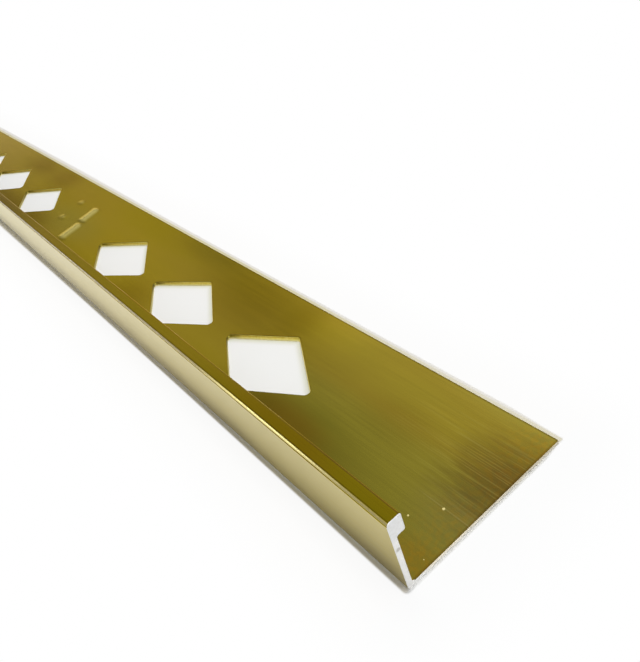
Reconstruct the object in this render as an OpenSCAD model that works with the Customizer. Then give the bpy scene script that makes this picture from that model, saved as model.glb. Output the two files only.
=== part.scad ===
// Straight-edge L trim: one drawn aluminium bar with a thin upright, a thicker head along its
// top and a wide fixing leg, punched with groups of diamond openings and sawn to length.
// The bar lies along X with its near end at +X. Y runs across the leg, from the upright to the
// free edge, and the leg's underside is at Z = 0. Millimetres.

/* [Bar] */
// Length that the bar is sawn to
bar_l = 1000; // [250:1:2500]
// Height over the head
bar_h = 12.5; // [8:0.1:25]

/* [Fixing leg] */
// Width from the outer face to the free edge
leg_w = 27; // [24:0.1:60]
// Thickness of the leg
leg_t = 0.8; // [0.5:0.05:2]

/* [Upright and head] */
// Thickness of the upright
web_t = 0.8; // [0.5:0.05:1.4]
// Width of the head, which is the line seen beside the tiles
head_w = 2.1; // [1.9:0.05:3]
// Depth of the head
head_h = 2.8; // [1.5:0.05:5]

/* [Diamond openings] */
// Side of each diamond
hole_side = 15; // [6:0.1:16]
// Angle at each diamond's two sharp corners, in degrees
hole_angle = 60; // [45:1:62]
// Radius of the diamond's corners
hole_corner_r = 0.7; // [0.3:0.05:1.5]
// Distance from one punched place to the next
place_pitch = 31.25; // [31:0.05:60]
// Places in a group, the first of which is left solid
group_places = 4; // [2:1:8]
// Distance from the outer face to the row's centre line
row_y = 12; // [11.7:0.1:14]

/* [Edges] */
// Radius of the head's outer corner
face_edge_r = 0.4; // [0.1:0.05:0.7]
// Radius of the head's two inner corners
head_edge_r = 0.3; // [0.1:0.05:0.5]
// Radius of the outer corner at the foot of the upright
foot_edge_r = 0.35; // [0.1:0.05:0.45]
// Radius of the leg's two free corners
leg_edge_r = 0.2; // [0.05:0.05:0.2]
// Radius of the two inside corners, at the leg and under the head
inside_r = 0.3; // [0.1:0.05:0.45]

/* [Hidden] */

arc_sides = 48;
// Cutters start this far outside the metal
overrun = 1;
// Half diagonals of a diamond, along the bar and across it
hole_half_l = hole_side * cos(hole_angle / 2);
hole_half_w = hole_side * sin(hole_angle / 2);
place_count = floor(bar_l / place_pitch);

// Concave fillet in the corner at the origin, with metal along both axes
module inside_fillet(r) {
    difference() {
        translate([-r / 2, -r / 2]) square(r * 1.5);
        translate([r, r]) circle(r, $fn = arc_sides);
    }
}

// What is removed to round an outer corner at the origin, with metal towards +X and +Y
module corner_waste(r) {
    difference() {
        translate([-overrun, -overrun]) square(r + overrun);
        translate([r, r]) circle(r, $fn = arc_sides);
    }
}

// Section of the bar, with the foot of its outer face at the origin
module section() {
    difference() {
        union() {
            square([leg_w, leg_t]);
            square([web_t, bar_h]);
            translate([0, bar_h - head_h]) square([head_w, head_h]);
            translate([web_t, leg_t]) inside_fillet(inside_r);
            translate([web_t, bar_h - head_h]) mirror([0, 1]) inside_fillet(inside_r);
        }
        corner_waste(foot_edge_r);
        translate([0, bar_h]) mirror([0, 1]) corner_waste(face_edge_r);
        translate([head_w, bar_h]) rotate(180) corner_waste(head_edge_r);
        translate([head_w, bar_h - head_h]) mirror([1, 0]) corner_waste(head_edge_r);
        translate([leg_w, 0]) mirror([1, 0]) corner_waste(leg_edge_r);
        translate([leg_w, leg_t]) rotate(180) corner_waste(leg_edge_r);
    }
}

// Diamond opening, longest along the bar, with rounded corners
module diamond() {
    sharp_in = hole_corner_r / sin(hole_angle / 2);
    blunt_in = hole_corner_r / cos(hole_angle / 2);
    // The step from a corner arc's centre to where the arc meets a side
    step = hole_corner_r * [sin(hole_angle / 2), cos(hole_angle / 2)];
    sharp_x = hole_half_l - sharp_in;
    blunt_y = hole_half_w - blunt_in;
    polygon([
        [sharp_x + step.x, step.y], [step.x, blunt_y + step.y],
        [-step.x, blunt_y + step.y], [-sharp_x - step.x, step.y],
        [-sharp_x - step.x, -step.y], [-step.x, -blunt_y - step.y],
        [step.x, -blunt_y - step.y], [sharp_x + step.x, -step.y],
    ]);
    for (side = [-1, 1]) {
        translate([side * sharp_x, 0]) circle(hole_corner_r, $fn = arc_sides);
        translate([0, side * blunt_y]) circle(hole_corner_r, $fn = arc_sides);
    }
}

// The whole bar: its section drawn out along X, then punched in groups from the near end
module l_channel() {
    color("darkkhaki")
    difference() {
        translate([-bar_l / 2, -leg_w / 2, 0])
            rotate([90, 0, 90]) linear_extrude(bar_l) section();
        for (place = [0 : place_count - 1])
            if (place % group_places != 0)
                translate([bar_l / 2 - (place + 0.5) * place_pitch, row_y - leg_w / 2, -overrun])
                    linear_extrude(leg_t + 2 * overrun) diamond();
    }
}

l_channel();
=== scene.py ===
import math

import bmesh
import bpy
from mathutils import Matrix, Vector, noise


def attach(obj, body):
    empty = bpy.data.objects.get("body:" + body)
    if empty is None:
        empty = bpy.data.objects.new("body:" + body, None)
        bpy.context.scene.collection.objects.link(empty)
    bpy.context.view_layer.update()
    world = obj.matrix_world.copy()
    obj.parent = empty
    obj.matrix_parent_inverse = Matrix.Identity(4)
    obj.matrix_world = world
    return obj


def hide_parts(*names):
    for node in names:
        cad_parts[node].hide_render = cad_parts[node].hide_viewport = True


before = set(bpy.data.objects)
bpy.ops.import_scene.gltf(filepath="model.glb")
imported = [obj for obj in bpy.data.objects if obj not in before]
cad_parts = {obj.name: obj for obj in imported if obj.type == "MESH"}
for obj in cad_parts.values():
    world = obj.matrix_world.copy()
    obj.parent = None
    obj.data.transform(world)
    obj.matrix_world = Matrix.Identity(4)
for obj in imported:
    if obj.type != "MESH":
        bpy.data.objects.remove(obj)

scene = bpy.context.scene
scene.view_settings.view_transform = "Standard"
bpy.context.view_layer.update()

# Camera: held at hand height just off the near sawn end, with a wide lens. It looks down the bar, which
# runs away to the left and out of the picture.
cam_data = bpy.data.cameras.new("camera")
cam_data.sensor_fit = "VERTICAL"
cam_data.sensor_height = 24.0
cam_data.lens = 24.549
cam_data.clip_start = 0.005
cam_data.clip_end = 50.0
camera = bpy.data.objects.new("camera", cam_data)
camera.location = (0.53818, -0.03221, 0.07055)
camera.rotation_euler = (math.radians(51.475), math.radians(15.531), math.radians(51.438))
scene.collection.objects.link(camera)
scene.camera = camera


# Table: a smooth white board that the bar lies on, and that takes its shadow. Its far edges sweep up
# behind. Off the bar it turns plain white for the camera and in reflections, as a cut-out ground does,
# and a pale grey rim of it is left round the bar.
def new_material(name):
    material = bpy.data.materials.new(name)
    material.use_nodes = True
    material.node_tree.nodes.clear()
    return material


def feed(tree, socket, value):
    """Links a socket to another node's output, or sets it to a plain value."""
    if isinstance(value, bpy.types.NodeSocket):
        tree.links.new(value, socket)
    else:
        socket.default_value = value


def add_node(tree, kind, settings=None, **inputs):
    """A shader node with its settings, and its sockets fed by name."""
    node = tree.nodes.new("ShaderNode" + kind)
    for key, value in (settings or {}).items():
        setattr(node, key, value)
    for key, value in inputs.items():
        feed(tree, node.inputs[key.replace("_", " ")], value)
    return node


def maths(tree, operation, first, second=0.0, clamp=False):
    node = add_node(tree, "Math", {"operation": operation, "use_clamp": clamp})
    feed(tree, node.inputs[0], first)
    feed(tree, node.inputs[1], second)
    return node.outputs[0]


def vector_maths(tree, operation, first, second=(0.0, 0.0, 0.0)):
    node = add_node(tree, "VectorMath", {"operation": operation})
    feed(tree, node.inputs[0], first)
    feed(tree, node.inputs[1], second)
    return node.outputs["Value" if operation in ("LENGTH", "DISTANCE", "DOT_PRODUCT") else "Vector"]


def fade(tree, value, start, stop, low=0.0, high=1.0):
    """A soft step from low at start to high at stop."""
    return add_node(tree, "MapRange", {"interpolation_type": "SMOOTHSTEP"}, Value=value, From_Min=start,
                    From_Max=stop, To_Min=low, To_Max=high).outputs[0]


def both(tree, first, second):
    """How far a point is in two regions at once, each of them from 0 to 1."""
    return maths(tree, "MULTIPLY", first, second)


def cloudy(tree, position, scale, detail):
    return add_node(tree, "TexNoise", Vector=position, Scale=scale, Detail=detail).outputs["Fac"]


def two_tone(tree, value, first, second, start=0.35, stop=0.65):
    """The first colour up to start, the second from stop, and a blend of them between."""
    ramp = add_node(tree, "ValToRGB", Fac=value)
    for end, at, colour in zip(ramp.color_ramp.elements, (start, stop), (first, second)):
        end.position = at
        end.color = (*colour, 1.0)
    return ramp.outputs["Color"]


def blend(tree, kind, amount, *colours):
    first, second = ((*c, 1.0) if isinstance(c, tuple) else c for c in colours)
    node = add_node(tree, "MixRGB", {"blend_type": kind}, Fac=amount, Color1=first, Color2=second)
    return node.outputs[0]


def covered(tree, colour, amount, cover):
    """A colour with another one laid over it by amount, from 0 to 1."""
    return blend(tree, "MIX", amount, colour, cover)


def tinted(tree, colour, amount, tint):
    """A colour multiplied by another one by amount, from 0 to 1."""
    return blend(tree, "MULTIPLY", amount, colour, tint)


# The bar's length and width, the pitch of its openings and the middle line of their row, in mm
MM = 0.001
bar_l = 1000.0
leg_w = 27.0
pitch = 31.25
row_y = 12.0
half_bar = bar_l / 2 * MM
half_leg = leg_w / 2 * MM
# Higher than the board sweeps up, so that no point is outside a box by its height
any_height = 1.6


def outside(tree, position, middle, half_sizes):
    """How far a point is outside a box."""
    away = vector_maths(tree, "ABSOLUTE", vector_maths(tree, "SUBTRACT", position, middle))
    past = vector_maths(tree, "MAXIMUM", vector_maths(tree, "SUBTRACT", away, half_sizes))
    return vector_maths(tree, "LENGTH", past)


def through_place(tree, x):
    """How far x is through its punching place, from 0 on the side of the near end to 1."""
    from_end = maths(tree, "SUBTRACT", half_bar, x)
    return maths(tree, "FRACT", maths(tree, "DIVIDE", from_end, pitch * MM))


# Places along and across the bar are the frame's x and y in metres, here and in the finishes. The near
# sawn end is at x 0.5, and the leg's free edge at y 0.0135
board_white = new_material("board_white")
tree = board_white.node_tree
position = add_node(tree, "TexCoord").outputs["Object"]
place = add_node(tree, "SeparateXYZ", Vector=position).outputs
board_tone = two_tone(tree, cloudy(tree, position, 14.0, 4.0), (0.835, 0.84, 0.83), (0.855, 0.855, 0.845),
                      0.3, 0.7)
off_bar = outside(tree, position, (0.0, 0.0, 0.0), (half_bar, half_leg, any_height))
# The rim is painted grey, a painted shade round the bar, and warm but for the part by the sawn end
rim_shade_tone = covered(tree, (0.87, 0.84, 0.79), fade(tree, place["X"], 0.4998, 0.5001), (0.83, 0.84, 0.835))
board_tone = tinted(tree, board_tone, fade(tree, off_bar, 0.00002, 0.0002), rim_shade_tone)
# Inside each opening the board is painted darker and gold by its two far walls, which run 30 degrees off
# the bar's length: their painted shadow, tinted by the gold light they throw. Distances are from the
# opening's middle, in mm
far_wall_along, far_wall_across = 0.5, 0.866
from_middle = maths(tree, "SUBTRACT", through_place(tree, place["X"]), 0.5)
along_bar = maths(tree, "ABSOLUTE", maths(tree, "MULTIPLY", from_middle, pitch))
across_bar = maths(tree, "MULTIPLY", maths(tree, "ADD", place["Y"], half_leg - row_y * MM), 1 / MM)
to_wall = maths(tree, "ADD", maths(tree, "MULTIPLY", along_bar, far_wall_along),
                maths(tree, "MULTIPLY", across_bar, far_wall_across))
under_leg = both(tree, fade(tree, place["X"], 0.4665, 0.4680, 1.0, 0.0),
                 fade(tree, place["Y"], 0.0068, 0.0080, 1.0, 0.0))
wall_shade_glow = both(tree, under_leg, fade(tree, to_wall, 5.0, 6.7))
board_tone = tinted(tree, board_tone, wall_shade_glow, (0.78, 0.78, 0.63))
# The rim is counted from further out at the leg's free edge, which hides the board just behind it, and
# from further in at the sawn ends. It gets narrower down the bar, and is cut back at the free corner
rim_past_edge = 0.00075
rim_short = 0.00035
off_rim = outside(tree, position, (0.0, rim_past_edge / 2, 0.0),
                  (half_bar - rim_short, half_leg + rim_past_edge / 2, any_height))
off_rim = maths(tree, "MULTIPLY", off_rim, fade(tree, place["X"], 0.30, 0.50, 0.42, 1.0))
corner_cut = both(tree, fade(tree, place["X"], 0.4900, 0.4998, 0.0, 0.00036),
                  fade(tree, place["Y"], 0.0100, 0.0135))
# Beside the free edge it carries a painted gold reflection from the leg
leg_gold_reflection = both(tree, fade(tree, place["Y"], 0.0136, 0.0138),
                  fade(tree, place["X"], 0.42, 0.49, 1.0, 0.5))
leg_gold_reflection = both(tree, fade(tree, off_rim, 0.00006, 0.00034, 1.0, 0.0), leg_gold_reflection)
board_tone = tinted(tree, board_tone, leg_gold_reflection, (0.84, 0.80, 0.55))
board = add_node(tree, "BsdfPrincipled", Base_Color=board_tone, Roughness=0.5)
# The camera sees nearly plain white past the rim, and the last of the shadow goes further out
white_past_rim = 0.91
rim_white = fade(tree, maths(tree, "ADD", off_rim, corner_cut), 0.00045, 0.00080, 0.0, white_past_rim)
shadow_white = fade(tree, off_bar, 0.001, 0.014, 0.0, 1.0 - white_past_rim)
# The metal mirrors more of the bar's own shadow, and less of it further down the bar, where the board
# glows plain white in reflections right by the bar, a painted light
white_glow_down_bar = fade(tree, place["X"], 0.35, 0.47, 0.38, 0.0)
mirrored = maths(tree, "ADD", fade(tree, off_bar, 0.0005, 0.009), white_glow_down_bar, clamp=True)
rays = add_node(tree, "LightPath").outputs
to_camera = maths(tree, "MULTIPLY", rays["Is Camera Ray"], maths(tree, "ADD", rim_white, shadow_white))
to_metal = maths(tree, "MULTIPLY", maths(tree, "ADD", rays["Is Glossy Ray"], rays["Is Transmission Ray"]),
                 mirrored)
plain_white = add_node(tree, "Emission", Strength=1.0)
ground = add_node(tree, "MixShader", Fac=maths(tree, "ADD", to_camera, to_metal, clamp=True))
tree.links.new(board.outputs[0], ground.inputs[1])
tree.links.new(plain_white.outputs[0], ground.inputs[2])
add_node(tree, "OutputMaterial", Surface=ground.outputs[0])

board_middle = 1.2
board_flat = 4.4
sweep_radius = 0.4
sweep_top = 0.55
board_line = [(board_middle, 0.0), (board_flat, 0.0)]
board_line += [(board_flat + sweep_radius * math.sin(math.radians(a)),
                sweep_radius * (1 - math.cos(math.radians(a)))) for a in range(10, 100, 10)]
board_line.append((board_flat + sweep_radius, sweep_top))
round_board = 96
board_shape = bmesh.new()
board_rings = []
for reach, z in board_line:
    board_rings.append([board_shape.verts.new((reach * math.cos(math.tau * i / round_board),
                                               reach * math.sin(math.tau * i / round_board), z))
                        for i in range(round_board)])
board_shape.faces.new(board_rings[0])
for lower, upper in zip(board_rings, board_rings[1:]):
    for i in range(round_board):
        j = (i + 1) % round_board
        board_shape.faces.new((lower[i], upper[i], upper[j], lower[j])).smooth = True
board_mesh = bpy.data.meshes.new("board")
board_shape.to_mesh(board_mesh)
board_shape.free()
board_mesh.materials.append(board_white)
board_object = bpy.data.objects.new("board", board_mesh)
# It lies a hair below the bar's underside, so that the two don't share a plane
board_object.location.z = -0.00002
scene.collection.objects.link(board_object)

# Room: the walls are white to a little above the sweep. Over that they are grey, as the ceiling is, with
# a paler strip of ceiling over the leg's free edge, a darker one beside it, and dark again above that.
# The two walls square to the bar are paler, for when it is seen from their side. The camera sees white.
world = bpy.data.worlds.new("room")
scene.world = world
world.use_nodes = True
tree = world.node_tree
tree.nodes.clear()
direction = add_node(tree, "TexCoord").outputs["Generated"]
facing = add_node(tree, "SeparateXYZ", Vector=direction).outputs


def room_tone(towards, stops):
    """Grey by how far a direction is turned from towards, as (cosine, grey) stops."""
    turned = vector_maths(tree, "DOT_PRODUCT", direction, Vector(towards).normalized())
    half = add_node(tree, "MapRange", Value=turned, From_Min=-1.0, From_Max=1.0)
    ramp = add_node(tree, "ValToRGB", Fac=half.outputs[0])
    points = ramp.color_ramp.elements
    while len(points) < len(stops):
        points.new(0.5)
    for point, (cosine, grey) in zip(points, stops):
        point.position = (cosine + 1) / 2
        point.color = (grey, grey, grey, 1.0)
    return ramp.outputs["Color"]


walls = room_tone((0.0, 1.0, 0.0), (
    (-1.0, 0.20), (-0.2, 0.22), (0.0, 0.32), (0.10, 0.38), (0.14, 0.47), (0.20, 0.55), (0.25, 0.49),
    (0.30, 0.36), (0.335, 0.36), (0.36, 0.49), (0.39, 0.83), (0.45, 0.72), (0.52, 0.60), (0.62, 0.30),
    (0.75, 0.16), (1.0, 0.16)))
skirting = room_tone((0.0, 0.0, 1.0), (
    (0.0, 0.20), (0.24, 0.24), (0.285, 0.42), (0.33, 0.96), (0.42, 1.0), (0.52, 0.9)))
tone = tinted(tree, walls, 1.0, skirting)
near_wall = both(tree, fade(tree, facing["Y"], -0.52, -0.36, 1.0, 0.0),
                 fade(tree, facing["Z"], 0.27, 0.36))
two_walls = maths(tree, "ADD", fade(tree, facing["Y"], 0.60, 0.76), near_wall)
tone = covered(tree, tone, two_walls, (0.42, 0.42, 0.42))
white_wall = maths(tree, "MAXIMUM", fade(tree, facing["Z"], 0.19, 0.24, 1.0, 0.0),
                   add_node(tree, "LightPath").outputs["Is Camera Ray"])
tone = covered(tree, tone, white_wall, (1.0, 1.0, 1.0))
air = add_node(tree, "Background", Color=tone, Strength=1.0)
add_node(tree, "OutputWorld", Surface=air.outputs[0])


# Lamps: a long soft box straight above the bar, which the metal doesn't mirror, and a fill beyond the
# near end. Only the metal sees the other two: a low window that draws the line along the head's outer
# edge, and a reflector card on the upright's side.
def add_lamp(name, place, aim, wide, deep, power):
    lamp = bpy.data.lights.new(name, "AREA")
    lamp.shape = "RECTANGLE"
    lamp.size = wide
    lamp.size_y = deep
    lamp.energy = power
    lamp_object = bpy.data.objects.new(name, lamp)
    lamp_object.location = place
    lamp_object.rotation_euler = (Vector(aim) - Vector(place)).to_track_quat("-Z", "Y").to_euler()
    lamp_object.visible_camera = False
    scene.collection.objects.link(lamp_object)
    return lamp_object


soft_box = add_lamp("soft_box", (0.45, 0.27, 1.6), (0.45, 0.0, 0.0), 1.6, 0.50, 19.8)
soft_box.visible_glossy = False
add_lamp("fill", (1.9, -0.2, 0.9), (0.5, 0.0, 0.0), 1.0, 0.7, 6.0)
window = add_lamp("window", (-1.4, -1.35, 0.42), (0.45, 0.0, 0.0), 1.4, 0.46, 7.0)
window.visible_diffuse = False
card = add_lamp("card", (-0.11, -1.71, 1.26), (0.45, 0.0, 0.0), 1.7, 1.5, 7.2)
card.visible_diffuse = False


# The bar: one length of drawn aluminium tile trim, gold anodised, with an upright, a thicker head along
# its top and a wide leg. The leg is punched in groups of three diamonds before anodising, and the bar
# is sawn to length afterwards, so both ends show bare metal. Its sizes are in mm.
bar_h = 12.5
leg_t = 0.8
web_t = 0.8
head_w = 2.1
head_h = 2.8
face_edge_r = 0.4
head_edge_r = 0.3
foot_edge_r = 0.35
leg_edge_r = 0.2
inside_r = 0.3
end_bevel = 0.08

# Which finish a face takes
DRAWN, HEAD, FACE, PUNCHED, SAWN = range(5)
UP, DOWN = Vector((0, 0, 1)), Vector((0, 0, -1))

mesh = bmesh.new()
shade = mesh.loops.layers.float_vector.new("shade")


def in_frame(x, y, z):
    """A point in metres from sizes in mm: x from the near end, y from the outer face, z from the board."""
    return (bar_l / 2 - x) * MM, (y - leg_w / 2) * MM, z * MM


def vert(x, y, z):
    return mesh.verts.new(in_frame(x, y, z))


def face(corners, normals, material):
    """A face that turns to its normals, which are one for all its corners or one for each."""
    if isinstance(normals, Vector):
        normals = [normals] * len(corners)
    made = mesh.faces.new(corners)
    made.material_index = material
    made.smooth = True
    made.normal_update()
    if made.normal.dot(sum(normals, Vector((0, 0, 0)))) < 0:
        made.normal_flip()
    at = dict(zip(corners, normals))
    for loop in made.loops:
        loop[shade] = at[loop.vert]
    return made


def strip(lower, upper, low_normals, high_normals, material):
    """Quads between two rows of as many vertices."""
    for i in range(len(lower) - 1):
        face((lower[i], lower[i + 1], upper[i + 1], upper[i]),
             (low_normals[i], low_normals[i + 1], high_normals[i + 1], high_normals[i]), material)


def arc(cy, cz, radius, start, stop, steps, hollow=False):
    """Part of the bar's section, as (y, z, outward normal) points."""
    made = []
    for i in range(steps + 1):
        turn = math.radians(start + (stop - start) * i / steps)
        out_y, out_z = math.cos(turn), math.sin(turn)
        side = -1 if hollow else 1
        made.append((cy + radius * out_y, cz + radius * out_z, Vector((0, side * out_y, side * out_z))))
    return made


# The upright's section, from the leg's top up its inner side, over the head and down the outer face.
# That face stands a little ledge proud of the head's rounded outer corner
under_head = bar_h - head_h
ledge, ledge_z = 0.09, 12.07
ledge_way = Vector((0, -0.45, 0.893))
inner_side = (
    arc(web_t + inside_r, leg_t + inside_r, inside_r, 270, 180, 5, hollow=True)
    + arc(web_t + inside_r, under_head - inside_r, inside_r, 180, 90, 5, hollow=True)
    + arc(head_w - head_edge_r, under_head + head_edge_r, head_edge_r, 270, 360, 5)
    + arc(head_w - head_edge_r, bar_h - head_edge_r, head_edge_r, 0, 90, 6)
)
outer_corner = arc(face_edge_r + ledge, bar_h - face_edge_r, face_edge_r, 90, 180, 9)
ledge_step = [(ledge, ledge_z, ledge_way), (0.0, ledge_z - ledge * 0.4, ledge_way),
              (0.0, ledge_z - ledge, Vector((0, -1, 0)))]
foot = arc(foot_edge_r, foot_edge_r, foot_edge_r, 180, 270, 6)
upright_line = inner_side + outer_corner + ledge_step + foot
free_line = (
    arc(leg_w - leg_edge_r, leg_t - leg_edge_r, leg_edge_r, 90, 0, 4)
    + arc(leg_w - leg_edge_r, leg_edge_r, leg_edge_r, 0, -90, 4)
)
# The head's finish covers its flat top and a third of the outer corner, and the face's goes on from
# there to part of the way round the foot
head_from = len(inner_side) - 1
head_to = len(inner_side) + 3
ledge_at = len(inner_side) + len(outer_corner)
face_to = ledge_at + len(ledge_step) + 2

# Sections stand every eighth of a pitch, with three close ones at each end for the sawn edge. The third
# of those is where the leg's first place starts
places = int(bar_l / pitch)
per_place = 8
first_place = 2
end_strip = 0.5
stations = [0.0, end_bevel, end_strip]
stations += [i * pitch / per_place for i in range(1, places * per_place)]
stations += [bar_l - end_strip, bar_l - end_bevel, bar_l]


def section_rows(line):
    rows = []
    for x in stations:
        inset = end_bevel if x in (0.0, bar_l) else 0.0
        rows.append([vert(x, y - inset * n.y, z - inset * n.z) for y, z, n in line])
    return rows


def sweep(line, rows, material_at):
    """The surface along the bar. Its first and last strips are the sawn bevels."""
    normals = [n for y, z, n in line]
    for i in range(len(rows) - 1):
        if i in (0, len(rows) - 2):
            end_on = Vector((1, 0, 0)) if i == 0 else Vector((-1, 0, 0))
            cut = [(n + end_on).normalized() for n in normals]
            strip(rows[i], rows[i + 1], cut, cut, SAWN)
            continue
        for j in range(len(line) - 1):
            face((rows[i][j], rows[i][j + 1], rows[i + 1][j + 1], rows[i + 1][j]),
                 (normals[j], normals[j + 1], normals[j + 1], normals[j]), material_at(j))


def upright_material(j):
    if head_from <= j < head_to or j == ledge_at:
        return HEAD
    return FACE if head_to <= j < face_to else DRAWN


upright_rows = section_rows(upright_line)
free_rows = section_rows(free_line)
sweep(upright_line, upright_rows, upright_material)
sweep(free_line, free_rows, lambda j: DRAWN)

# Punched leg: the punch drags the top of each opening's edge over into a small roll, burnishes the
# upper part of the wall and breaks the rest away at a slight taper.
hole_side = 15.0
hole_angle = math.radians(60.0)
hole_corner_r = 0.7
# How far the edge stands back from the opening and how high, from the roll's top down the wall
edge_profile = ((0.46, 0.80), (0.36, 0.795), (0.26, 0.775), (0.17, 0.735), (0.10, 0.67), (0.05, 0.58),
                (0.015, 0.46), (-0.03, 0.28), (-0.12, 0.0))
roll_strips = 3
# The sides by the upright are rolled over less than the far ones, and don't lean
least_roll = 0.25


def zip_rings(outer, inner, centre_x, material, normal):
    """Triangles between two closed rings round a place's centre."""
    cx, cy = in_frame(centre_x, row_y, 0.0)[:2]

    def turn(v):
        return math.atan2(v.co.y - cy, v.co.x - cx)

    def edge_turns(ring):
        """Twice the turn to the middle of each edge of a ring."""
        turns = [turn(v) for v in ring] + [turn(ring[0]) + math.tau]
        return [start + stop for start, stop in zip(turns, turns[1:])]
    outer = sorted(outer, key=turn)
    inner = sorted(inner, key=turn)
    outer_turns = edge_turns(outer)
    inner_turns = edge_turns(inner)
    i = j = 0
    while i < len(outer) or j < len(inner):
        p, q = outer[i % len(outer)], inner[j % len(inner)]
        if j >= len(inner) or (i < len(outer) and outer_turns[i] <= inner_turns[j]):
            face((p, outer[(i + 1) % len(outer)], q), normal, material)
            i += 1
        else:
            face((p, inner[(j + 1) % len(inner)], q), normal, material)
            j += 1


def diamond_line(grow):
    """An opening's outline grown by grow, as (x, y) about its centre, with normals into the opening."""
    half_angle = math.degrees(hole_angle) / 2
    sharp_x = hole_side * math.cos(hole_angle / 2) - hole_corner_r / math.sin(hole_angle / 2)
    blunt_y = hole_side * math.sin(hole_angle / 2) - hole_corner_r / math.cos(hole_angle / 2)
    line = []
    for cx, cy, middle, half, steps in (
            (sharp_x, 0, 0, 90 - half_angle, 8), (0, blunt_y, 90, half_angle, 4),
            (-sharp_x, 0, 180, 90 - half_angle, 8), (0, -blunt_y, 270, half_angle, 4)):
        for i in range(steps + 1):
            turn = math.radians(middle - half + 2 * half * i / steps)
            across, along = math.sin(turn), math.cos(turn)
            away = max(0.0, across)
            radius = hole_corner_r + grow * (least_roll + (1 - least_roll) * away if grow > 0 else away)
            # x runs away from the near end, which is the frame's -X
            line.append((cx + radius * along, cy + radius * across, Vector((along, -across, 0))))
    return line


def punch(centre_x):
    """The roll and wall of one opening. Gives its rings on the leg's top and underside."""
    rings = []
    last = len(edge_profile) - 1
    for n, (grow, z) in enumerate(edge_profile):
        (g0, z0), (g1, z1) = edge_profile[max(n - 1, 0)], edge_profile[min(n + 1, last)]
        size = math.hypot(z0 - z1, g0 - g1)
        inward, upward = (0.0, 1.0) if n == 0 else ((z0 - z1) / size, (g0 - g1) / size)
        line = diamond_line(grow)
        verts = [vert(centre_x + px, row_y + py, z) for px, py, into in line]
        rings.append((verts, [into * inward + UP * upward for px, py, into in line]))
    for n in range(last):
        (low, low_n), (high, high_n) = rings[n], rings[n + 1]
        strip(low + low[:1], high + high[:1], low_n + low_n[:1], high_n + high_n[:1],
              DRAWN if n < roll_strips else PUNCHED)
    return rings[0][0], rings[-1][0]


# Pressed mark: between two groups of openings the leg is blank, and every second blank place carries a
# plain mark, two short bars and two pips, pressed up from below.
mark_bars = ((16.0, 14.9, 17.4, 19.2), (12.8, 7.6, 14.2, 12.5))
mark_pips = ((27.6, 19.1), (25.2, 12.1))
# How far a bar and a pip swell out from their middle, along and across the leg
bar_reach_x, bar_reach_y = 3.3, 1.5
pip_reach_x, pip_reach_y = 2.8, 1.5
mark_rise = 0.25
pip_share = 0.6


def mark_height(x, y):
    """Height of the mark over the leg at x along a place and y from the outer face."""
    best = 0.0
    for ax, ay, bx, by in mark_bars:
        dx, dy = bx - ax, by - ay
        t = max(0.0, min(1.0, ((x - ax) * dx + (y - ay) * dy) / (dx * dx + dy * dy)))
        away = math.hypot((x - ax - t * dx) / bar_reach_x, (y - ay - t * dy) / bar_reach_y)
        best = max(best, (1 - away * away) ** 2 if away < 1 else 0.0)
    for px, py in mark_pips:
        away = math.hypot((x - px) / pip_reach_x, (y - py) / pip_reach_y)
        best = max(best, pip_share * (1 - away * away) ** 2 if away < 1 else 0.0)
    return mark_rise * best


def mark_patch(place_start):
    """A fine patch of the leg's top that carries the mark. Gives the ring of its border."""
    x0, x1, y0, y1 = 9.0, 30.6, 5.5, 21.5
    step, probe = 0.4, 0.05
    count_x, count_y = round((x1 - x0) / step), round((y1 - y0) / step)
    grid = []
    normals = []
    for i in range(count_x + 1):
        x = x0 + (x1 - x0) * i / count_x
        row, row_n = [], []
        for j in range(count_y + 1):
            y = y0 + (y1 - y0) * j / count_y
            row.append(vert(place_start + x, y, leg_t + mark_height(x, y)))
            slope_x = (mark_height(x + probe, y) - mark_height(x - probe, y)) / (2 * probe)
            slope_y = (mark_height(x, y + probe) - mark_height(x, y - probe)) / (2 * probe)
            row_n.append(Vector((slope_x, -slope_y, 1.0)).normalized())
        grid.append(row)
        normals.append(row_n)
    for i in range(count_x):
        strip(grid[i], grid[i + 1], normals[i], normals[i + 1], DRAWN)
    return grid[0] + grid[-1] + [row[0] for row in grid[1:-1]] + [row[-1] for row in grid[1:-1]]


# Leg: its top and underside are flat, and are made place by place round the openings and marks. Rows
# of points across the leg stand between the places, close together at the sawn ends.
inner_top, outer_top = upright_line[0][0], free_line[0][0]
inner_low, outer_low = upright_line[-1][0], free_line[-1][0]
# Three openings and a blank place
group_places = 4
end_points = 96
cross_points = 8
blank_half_x, blank_half_y = 9.0, 7.0


def cross_row(x, y_from, y_to, z, count):
    return [vert(x, y_from + (y_to - y_from) * i / count, z) for i in range(1, count)]


def plain_blank(middle, z, way):
    """A flat piece in the middle of a blank place. Gives its corners."""
    corners = [vert(middle + side_x * blank_half_x, row_y + side_y * blank_half_y, z)
               for side_x, side_y in ((-1, -1), (1, -1), (1, 1), (-1, 1))]
    face(corners, way, DRAWN)
    return corners


cross_top = []
cross_low = []
for k in range(places + 1):
    count = end_points if k in (0, places) else cross_points
    x = stations[first_place + k * per_place]
    cross_top.append(cross_row(x, inner_top, outer_top, leg_t, count))
    cross_low.append(cross_row(x, inner_low, outer_low, 0.0, count))

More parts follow.
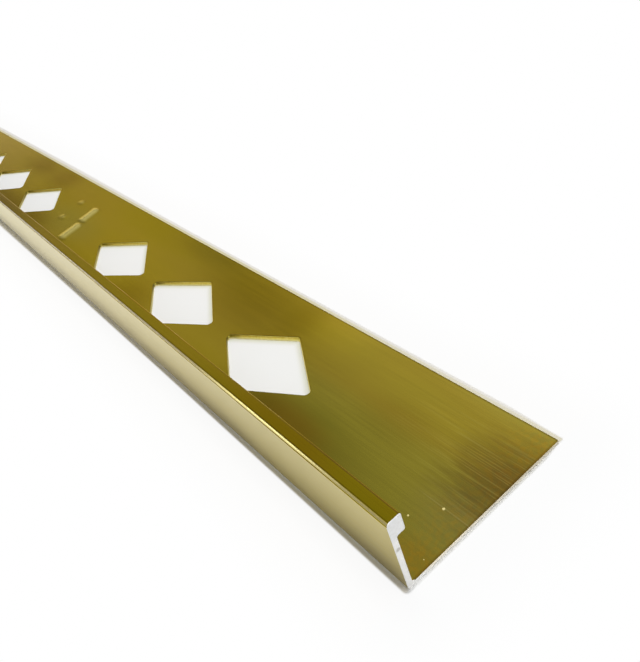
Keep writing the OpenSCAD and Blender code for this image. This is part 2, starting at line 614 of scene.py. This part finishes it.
for k in range(places):
    start = first_place + k * per_place
    span = range(start, start + per_place + 1)
    middle = (k + 0.5) * pitch
    top_ring = [upright_rows[i][0] for i in span] + [free_rows[i][0] for i in span]
    top_ring += cross_top[k] + cross_top[k + 1]
    low_ring = [upright_rows[i][-1] for i in span] + [free_rows[i][-1] for i in span]
    low_ring += cross_low[k] + cross_low[k + 1]
    if k % group_places:
        top_inner, low_inner = punch(middle)
    else:
        low_inner = plain_blank(middle, 0.0, DOWN)
        marked = k % (2 * group_places)
        top_inner = mark_patch(k * pitch) if marked else plain_blank(middle, leg_t, UP)
    zip_rings(top_ring, top_inner, middle, DRAWN, UP)
    zip_rings(low_ring, low_inner, middle, DRAWN, DOWN)

# Sawn ends: the blade leaves a fine bevel round the section, and chips along the leg's lower edge, most
# of all at the free corner.
chip_in = 0.26
chip_up = 0.34


def chip(y, seed):
    """How deep the saw chipped the leg's lower edge, from 0 to 1, in coarse breaks and finer ones."""
    breaks = noise.noise((y * 0.8, seed, 0.0)) + 0.45 * noise.noise((y * 2.9, seed, 3.0))
    towards_corner = 0.25 + 0.75 * min(1.0, y / 12.0)
    return max(0.0, min(1.0, (breaks + 0.12) * 4.0)) * towards_corner


def whole_row(station, cross, corner):
    """A row across the leg with its two end points, from the upright and from the free edge."""
    return [upright_rows[station][corner]] + cross + [free_rows[station][corner]]


for k, side in ((0, 1), (places, -1)):
    at_end, at_bevel, at_strip = (0, 1, 2) if k == 0 else (-1, -2, -3)
    x_end = stations[at_end]
    x_in = x_end + side * end_bevel
    end_on = Vector((side, 0, 0))
    top_strip = whole_row(at_strip, cross_top[k], 0)
    low_strip = whole_row(at_strip, cross_low[k], -1)
    top_in = whole_row(at_bevel, cross_row(x_in, inner_top, outer_top, leg_t, end_points), 0)
    low_in = whole_row(at_bevel, cross_row(x_in, inner_low, outer_low, 0.0, end_points), -1)
    top_end = cross_row(x_end, inner_top, outer_top, leg_t - end_bevel, end_points)
    low_end = cross_row(x_end, inner_low, outer_low, end_bevel, end_points)
    top_line = whole_row(at_end, top_end, 0)
    low_line = whole_row(at_end, low_end, -1)
    for inner_vert, outer_vert in zip(low_in[1:-1], low_end):
        deep = chip(inner_vert.co.y / MM + leg_w / 2, k)
        inner_vert.co.x -= side * chip_in * MM * deep
        outer_vert.co.z += chip_up * MM * deep
    flat_up, flat_down = [UP] * len(top_in), [DOWN] * len(low_in)
    strip(top_strip, top_in, flat_up, flat_up, DRAWN)
    strip(low_strip, low_in, flat_down, flat_down, DRAWN)
    strip(top_in, top_line, flat_up, flat_up, DRAWN)
    for j in range(len(low_in) - 1):
        across = (low_line[j + 1].co - low_in[j].co).cross(low_line[j].co - low_in[j + 1].co)
        across = across.normalized() * (1 if across.dot(DOWN + end_on) > 0 else -1)
        face((low_in[j], low_in[j + 1], low_line[j + 1], low_line[j]), across, SAWN)
    edge = upright_rows[at_end] + low_end + free_rows[at_end][::-1] + top_end[::-1]
    cap = face(edge, end_on, SAWN)
    for part in bmesh.ops.triangulate(mesh, faces=[cap])["faces"]:
        for loop in part.loops:
            loop[shade] = end_on

# The normals that the faces carry go onto the mesh, so that flats stay flat beside rounded corners
bar_mesh = bpy.data.meshes.new("tile_trim_bar")
mesh.to_mesh(bar_mesh)
mesh.free()
wanted = [tuple(value.vector) for value in bar_mesh.attributes["shade"].data]
bar_mesh.attributes.remove(bar_mesh.attributes["shade"])
bar_mesh.normals_split_custom_set(wanted)
bar = bpy.data.objects.new("tile_trim_bar", bar_mesh)
scene.collection.objects.link(bar)


# Drawn gold, on most of the bar: gold dye in the oxide of satin aluminium. Fine die lines run along the
# bar, and the dye drifts slowly between olive and brown. Round the sawn end the cutting oil has stained
# it darker.
def streaks(tree, position, scale, detail):
    """Noise that is scaled by itself along x, y and z."""
    return cloudy(tree, add_node(tree, "Mapping", Vector=position, Scale=scale).outputs[0], 1.0, detail)


def drawn_lines(tree, position, along, across, detail=2.0):
    """Streaks that run along the bar, from their length and width in metres."""
    return streaks(tree, position, (1 / along, 1 / across, 1 / across), detail)


def spread(tree, value, low, high, start=0.35, stop=0.65):
    """A straight ramp from low at start to high at stop."""
    return add_node(tree, "MapRange", Value=value, From_Min=start, From_Max=stop, To_Min=low,
                    To_Max=high).outputs[0]


def patch(tree, position, x, y, half_x, half_y, ragged=0.0):
    """How near a point is to the middle of an oval patch of the leg, in mm: 1 there and 0 at its edge."""
    half_high = 10.0
    oval = add_node(tree, "Mapping", {"vector_type": "TEXTURE"}, Vector=position,
                    Location=in_frame(x, y, leg_t),
                    Scale=(half_x * MM, half_y * MM, half_high * MM)).outputs[0]
    reach = vector_maths(tree, "LENGTH", oval)
    if ragged:
        wander = drawn_lines(tree, position, 0.005, 0.0009, 4.0)
        reach = maths(tree, "ADD", reach, spread(tree, wander, -ragged, ragged))
    return fade(tree, reach, 0.1, 1.0, 1.0, 0.0)


def spot(tree, position, middle, inner, outer):
    """A round spot: 1 to inner metres from its middle, and 0 from outer metres on."""
    return fade(tree, vector_maths(tree, "DISTANCE", position, middle), inner, outer, 1.0, 0.0)


def grooves(tree, height, strength, deep):
    return add_node(tree, "Bump", Height=height, Strength=strength, Distance=deep).outputs[0]


def surface(tree, **inputs):
    """The shader of a finish, on the material's output."""
    shader = add_node(tree, "BsdfPrincipled", **inputs)
    add_node(tree, "OutputMaterial", Surface=shader.outputs[0])


drawn_gold = new_material("drawn_gold")
tree = drawn_gold.node_tree
position = add_node(tree, "TexCoord").outputs["Object"]
place = add_node(tree, "SeparateXYZ", Vector=position).outputs
fine_lines = drawn_lines(tree, position, 0.012, 0.00022)
wide_lines = drawn_lines(tree, position, 0.05, 0.0016)
drift = drawn_lines(tree, position, 0.05, 0.013)
# The dye is greener and hazier over the last 45 mm
greener = fade(tree, place["X"], 0.447, 0.468)
dye = covered(tree, two_tone(tree, drift, (0.55, 0.413, 0.027), (0.56, 0.405, 0.042)), greener,
              two_tone(tree, drift, (0.455, 0.395, 0.043), (0.495, 0.40, 0.050)))
dye = tinted(tree, dye, 0.18, two_tone(tree, wide_lines, (0.93, 0.92, 0.91), (1.04, 1.04, 1.04)))
dye = tinted(tree, dye, 0.15, two_tone(tree, fine_lines, (0.90, 0.89, 0.88), (1.05, 1.05, 1.05)))
# Towards the free edge the green gives way to brown, but for a paler corner that was handled most
dye = tinted(tree, dye, both(tree, greener, fade(tree, place["Y"], 0.0005, 0.0045)), (1.08, 0.96, 0.92))
dye = tinted(tree, dye, patch(tree, position, 2.0, 28.5, 24.0, 5.0), (1.22, 1.34, 1.75))
# Along the upright the leg is shaded, and deepest between the sawn end and the first opening
root = both(tree, fade(tree, place["Y"], -0.0125, -0.0055, 1.0, 0.0),
            fade(tree, place["X"], 0.488, 0.497, 1.0, 0.2))
dye = tinted(tree, dye, root, (0.80, 0.79, 0.85))
far_root = both(tree, fade(tree, place["Y"], -0.0065, -0.0010, 1.0, 0.0),
                fade(tree, place["X"], 0.335, 0.358, 1.0, 0.0))
dye = tinted(tree, dye, far_root, (0.60, 0.55, 0.48))
dye = tinted(tree, dye, patch(tree, position, 33.0, 6.0, 24.0, 7.5), (0.62, 0.60, 0.52))
# Fine scratches over the last 20 mm, where the bar was held and sawn
handled = patch(tree, position, 4.0, 17.5, 24.0, 11.0)
scratches = drawn_lines(tree, position, 0.009, 0.00019, 1.0)
dye = tinted(tree, dye, handled,
             two_tone(tree, scratches, (0.945, 0.93, 0.925), (1.02, 1.02, 1.02), 0.40, 0.60))
# Oil stain behind the sawn end
stain = patch(tree, position, 0.0, 17.2, 13.0, 10.5, ragged=0.10)
dye = tinted(tree, dye, stain, (0.56, 0.49, 0.78))
# Small brown and orange spots of the oil, closest along the cut
oil_spots = two_tone(tree, cloudy(tree, position, 1500.0, 2.0), (1.14, 0.98, 0.76), (0.93, 0.95, 1.0),
                     0.40, 0.56)
dye = tinted(tree, dye, fade(tree, place["X"], 0.4915, 0.4995, 0.0, 0.6), oil_spots)
# The palest of the scratches
pale_scratch = both(tree, handled, spread(tree, scratches, 0.0, 0.22, 0.57, 0.66))
dye = covered(tree, dye, pale_scratch, (0.66, 0.56, 0.14))
# Browner clouds, by the free edge beside the openings and beyond the mark, and two by the head
for cloud_x, cloud_y, half_x, half_y, deep in (
        (63.0, 22.0, 27.0, 14.0, 0.85), (50.0, 22.5, 6.0, 11.0, 0.4), (177.0, 23.0, 14.0, 9.0, 1.0),
        (92.0, 6.0, 13.0, 8.0, 0.9), (41.0, 6.5, 9.0, 5.0, 0.7), (19.0, 16.5, 11.0, 6.0, 0.5)):
    cloud = maths(tree, "MULTIPLY", patch(tree, position, cloud_x, cloud_y, half_x, half_y), deep)
    dye = tinted(tree, dye, cloud, (0.78, 0.73, 0.66))
# Redder beside the first opening and in the corner by the upright, hazier by the cut and the mark, and
# uneven along the free edge
for tint_x, tint_y, half_x, half_y, tint in (
        (32.0, 6.3, 12.0, 4.6, (1.13, 0.90, 0.80)), (2.0, 3.0, 6.5, 3.6, (1.12, 0.95, 0.88)),
        (1.0, 9.0, 11.0, 7.0, (1.0, 1.0, 1.45)), (146.0, 12.0, 26.0, 9.5, (0.92, 1.0, 1.8)),
        (200.0, 23.5, 22.0, 7.0, (0.74, 0.68, 0.55)), (42.0, 25.0, 13.0, 8.0, (1.12, 1.12, 1.09)),
        (87.0, 27.0, 20.0, 6.5, (0.79, 0.80, 0.82))):
    dye = tinted(tree, dye, patch(tree, position, tint_x, tint_y, half_x, half_y), tint)
# The head's inner corner is painted darker, a painted shade, and most so down the bar and by the
# sawn end
inner_corner_shade = fade(tree, place["Z"], 0.0115, 0.0122)
dye = tinted(tree, dye, inner_corner_shade, (0.80, 0.68, 0.70))
inner_corner_shade_more = maths(tree, "MAXIMUM", fade(tree, place["X"], 0.36, 0.44, 1.0, 0.0),
               fade(tree, place["X"], 0.477, 0.487, 0.0, 0.75))
dye = tinted(tree, dye, both(tree, inner_corner_shade, inner_corner_shade_more), (0.66, 0.62, 0.60))
# The free edge's rolled corner is painted darker, a painted shade, and a fine line where the blade broke
# through the dye is darker too
dye = tinted(tree, dye, fade(tree, place["Y"], 0.01308, 0.01330), (0.60, 0.60, 0.70))
dye = tinted(tree, dye, fade(tree, place["X"], 0.4996, 0.4999, 0.0, 0.75), (0.70, 0.62, 0.62))
# One long pale scratch on the last 9 mm
scratch_y = -0.0033
beside = maths(tree, "ABSOLUTE", maths(tree, "SUBTRACT", place["Y"], scratch_y))
long_scratch = both(tree, fade(tree, beside, 0.00002, 0.00009, 0.35, 0.0),
                    fade(tree, place["X"], 0.4905, 0.4945))
dye = covered(tree, dye, long_scratch, (0.72, 0.62, 0.22))
# Specks of bare metal on the leg, and a painted highlight on the tops of the pressed marks, paler and
# less metallic
specks = 0.0
for speck_x, speck_y, size in ((6.7, 6.6, 0.12), (4.0, 10.1, 0.17), (1.0, 3.6, 0.06)):
    speck = spot(tree, position, in_frame(speck_x, speck_y, leg_t), 0.6 * size * MM, 1.5 * size * MM)
    specks = maths(tree, "MAXIMUM", speck, specks)
dye = covered(tree, dye, specks, (0.78, 0.67, 0.29))
mark_highlight = both(tree, fade(tree, place["Z"], 0.00084, 0.00108, 0.0, 0.80),
            fade(tree, place["Z"], 0.0015, 0.002, 1.0, 0.0))
dye = covered(tree, dye, mark_highlight, (0.84, 0.75, 0.25))
bare_and_highlit = maths(tree, "MAXIMUM", specks, maths(tree, "MULTIPLY", mark_highlight, 0.3))
surface(tree, Base_Color=dye, Roughness=spread(tree, fine_lines, 0.19, 0.27),
        Normal=grooves(tree, maths(tree, "ADD", fine_lines, wide_lines), 0.3, 0.000004),
        Metallic=maths(tree, "SUBTRACT", 1.0, maths(tree, "MULTIPLY", bare_and_highlit, 0.85)),
        Specular_Tint=(1.0, 0.85, 0.5, 1.0))

# Head gold, on the head's top: the same dye over a surface that was drawn smoother, so that it looks
# deeper. It is browner over the last 35 mm but for the tip, and painted darker down the bar, a painted
# shade.
head_gold = new_material("head_gold")
tree = head_gold.node_tree
position = add_node(tree, "TexCoord").outputs["Object"]
place = add_node(tree, "SeparateXYZ", Vector=position).outputs
fine_lines = drawn_lines(tree, position, 0.04, 0.0002)
drift = drawn_lines(tree, position, 0.03, 0.004)
dye = two_tone(tree, drift, (0.45, 0.335, 0.014), (0.50, 0.345, 0.022))
dye = tinted(tree, dye, 0.5, two_tone(tree, fine_lines, (0.85, 0.85, 0.8), (1.0, 1.0, 1.0)))
dye = tinted(tree, dye, fade(tree, place["X"], 0.455, 0.478), (0.82, 0.76, 0.45))
dye = tinted(tree, dye, fade(tree, place["X"], 0.484, 0.494), (1.08, 1.22, 1.10))
# Painted shade on the head's top down the bar
dye = tinted(tree, dye, fade(tree, place["X"], 0.345, 0.385, 1.0, 0.0), (0.72, 0.62, 0.55))
# The ledge carries a painted highlight, but for the last 30 mm
ledge_highlight = both(tree, fade(tree, place["Z"], 0.01215, 0.01225, 0.8, 0.0),
                fade(tree, place["X"], 0.465, 0.485, 1.0, 0.0))
dye = covered(tree, dye, ledge_highlight, (0.80, 0.68, 0.30))
surface(tree, Base_Color=dye, Metallic=1.0, Roughness=spread(tree, fine_lines, 0.20, 0.27),
        Normal=grooves(tree, fine_lines, 0.4, 0.000003), Specular_Tint=(1.0, 0.88, 0.6, 1.0))

# Face gold, on the outer face: the same dye under a clear sealed film of oxide, over a finer brushed
# surface. It is deeper over the last 50 mm, and its foot is painted darker, a painted shade, but for a
# stretch near the end.
face_gold = new_material("face_gold")
tree = face_gold.node_tree
position = add_node(tree, "TexCoord").outputs["Object"]
place = add_node(tree, "SeparateXYZ", Vector=position).outputs
brushing = drawn_lines(tree, position, 0.03, 0.00012, 3.0)
dye = two_tone(tree, brushing, (0.58, 0.485, 0.115), (0.63, 0.52, 0.14))
near_end = fade(tree, place["X"], 0.440, 0.490)
dye = tinted(tree, dye, near_end, (0.84, 0.83, 0.50))
# Painted shade along the foot
foot_shade = both(tree, fade(tree, place["Z"], 0.0010, 0.0065, 1.0, 0.0),
               maths(tree, "MAXIMUM", fade(tree, place["X"], 0.482, 0.498),
                     fade(tree, place["X"], 0.462, 0.474, 0.9, 0.0)))
dye = tinted(tree, dye, foot_shade, (0.75, 0.73, 0.67))
# The rounded corner is painted pale, a painted highlight, and painted darker, a painted shade, on the
# last 15 mm and beyond 30 mm
rounded = fade(tree, place["Z"], 0.0121, 0.0122)
dye = covered(tree, dye, both(tree, rounded, near_end), (0.76, 0.67, 0.27))
outer_corner_shade = maths(tree, "ADD", fade(tree, place["X"], 0.479, 0.495),
               fade(tree, place["X"], 0.455, 0.475, 0.9, 0.0))
dye = tinted(tree, dye, both(tree, outer_corner_shade, rounded), (0.34, 0.31, 0.23))
# More painted shade on the rounded corner down the bar
outer_corner_shade_far = both(tree, rounded, fade(tree, place["X"], 0.452, 0.470, 1.0, 0.0))
dye = tinted(tree, dye, outer_corner_shade_far, (0.60, 0.55, 0.50))
surface(tree, Base_Color=dye, Metallic=1.0, Roughness=spread(tree, brushing, 0.30, 0.38),
        Normal=grooves(tree, brushing, 0.4, 0.000002), Specular_Tint=(1.0, 0.98, 0.90, 1.0),
        Coat_Weight=0.75, Coat_IOR=1.5, Coat_Roughness=0.25)

# Punched gold, on the walls: sheared bright and dyed paler than the rest, with shear marks from top to
# bottom, and a painted highlight at the foot. The sides by the upright and the far sharp corners are
# painted darker, a painted shade.
punched_gold = new_material("punched_gold")
tree = punched_gold.node_tree
position = add_node(tree, "TexCoord").outputs["Object"]
place = add_node(tree, "SeparateXYZ", Vector=position).outputs
shear = streaks(tree, position, (3500.0, 3500.0, 250.0), 3.0)
dye = two_tone(tree, shear, (0.84, 0.70, 0.13), (0.92, 0.79, 0.22))
wall_way = add_node(tree, "NewGeometry").outputs["Normal"]
across = add_node(tree, "SeparateXYZ", Vector=wall_way).outputs["Y"]
# Painted shade on the sides by the upright
dye = tinted(tree, dye, fade(tree, across, -0.15, 0.35), (0.52, 0.50, 0.58))
# Painted shade towards the far sharp corners
far_corner_shade = fade(tree, through_place(tree, place["X"]), 0.80, 0.90)
dye = tinted(tree, dye, far_corner_shade, (0.50, 0.50, 0.42))
# Painted highlight at the wall's foot
dye = covered(tree, dye, fade(tree, place["Z"], 0.00004, 0.00042, 0.75, 0.0), (0.92, 0.86, 0.50))
surface(tree, Base_Color=dye, Metallic=1.0, Roughness=0.35, Normal=grooves(tree, shear, 0.5, 0.00001))

# Sawn metal, on both ends: bare aluminium, dull from the blade, with its fine curved marks. Across the
# leg the blade dragged a little of the gold down over the cut.
sawn_metal = new_material("sawn_metal")
tree = sawn_metal.node_tree
position = add_node(tree, "TexCoord").outputs["Object"]
place = add_node(tree, "SeparateXYZ", Vector=position).outputs
grain = cloudy(tree, position, 2600.0, 3.0)
bare = two_tone(tree, grain, (0.89, 0.88, 0.86), (0.96, 0.95, 0.93))
dragged = fade(tree, place["Y"], -0.0115, -0.009)
bare = tinted(tree, bare, dragged, (1.06, 0.98, 0.84))
# The leg's cut is greyer towards the free edge. Its lower part took less of the gold, and is paler there
bare = tinted(tree, bare, fade(tree, place["Y"], -0.0070, 0.0085), (0.72, 0.71, 0.66))
low = both(tree, dragged, fade(tree, place["Z"], 0.00018, 0.00048, 1.0, 0.0))
bare = tinted(tree, bare, low, (0.92, 0.97, 1.06))
bare = tinted(tree, bare, both(tree, low, fade(tree, place["Y"], 0.0005, 0.0060)), (1.30, 1.28, 1.26))
# The head was cut first and is greyer
bare = tinted(tree, bare, fade(tree, place["Z"], 0.0088, 0.0100), (0.90, 0.91, 0.93))
# Grey breaks along the leg's lower edge, where the saw chipped it: partly the chips' own grey, partly
# painted shade under them
broken = streaks(tree, position, (100.0, 700.0, 1600.0), 3.0)
lower_edge = both(tree, fade(tree, place["Z"], 0.00015, 0.00035, 1.0, 0.0),
                  fade(tree, place["Y"], -0.008, 0.002))
breaks = both(tree, spread(tree, broken, 0.0, 1.0, 0.55, 0.62), lower_edge)
bare = tinted(tree, bare, breaks, (0.70, 0.70, 0.71))
# A grey spot where the blade jumped across the upright
jump = spot(tree, position, in_frame(0.0, 0.4, 7.7), 0.00015, 0.00042)
bare = tinted(tree, bare, jump, (0.62, 0.60, 0.56))
blade = add_node(tree, "Mapping", Vector=position, Location=(0.0, 0.1, 0.12)).outputs[0]
marks = add_node(tree, "TexWave", {"wave_type": "RINGS", "rings_direction": "X"}, Vector=blade,
                 Scale=900.0, Distortion=2.0, Detail=2.0).outputs["Fac"]
surface(tree, Base_Color=bare, Metallic=0.3, Roughness=0.5,
        Normal=grooves(tree, maths(tree, "ADD", marks, grain), 0.3, 0.000004))

# The finishes, in the order of the numbers on the faces
for material in (drawn_gold, head_gold, face_gold, punched_gold, sawn_metal):
    bar_mesh.materials.append(material)

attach(bar, "root")
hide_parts("l_channel")
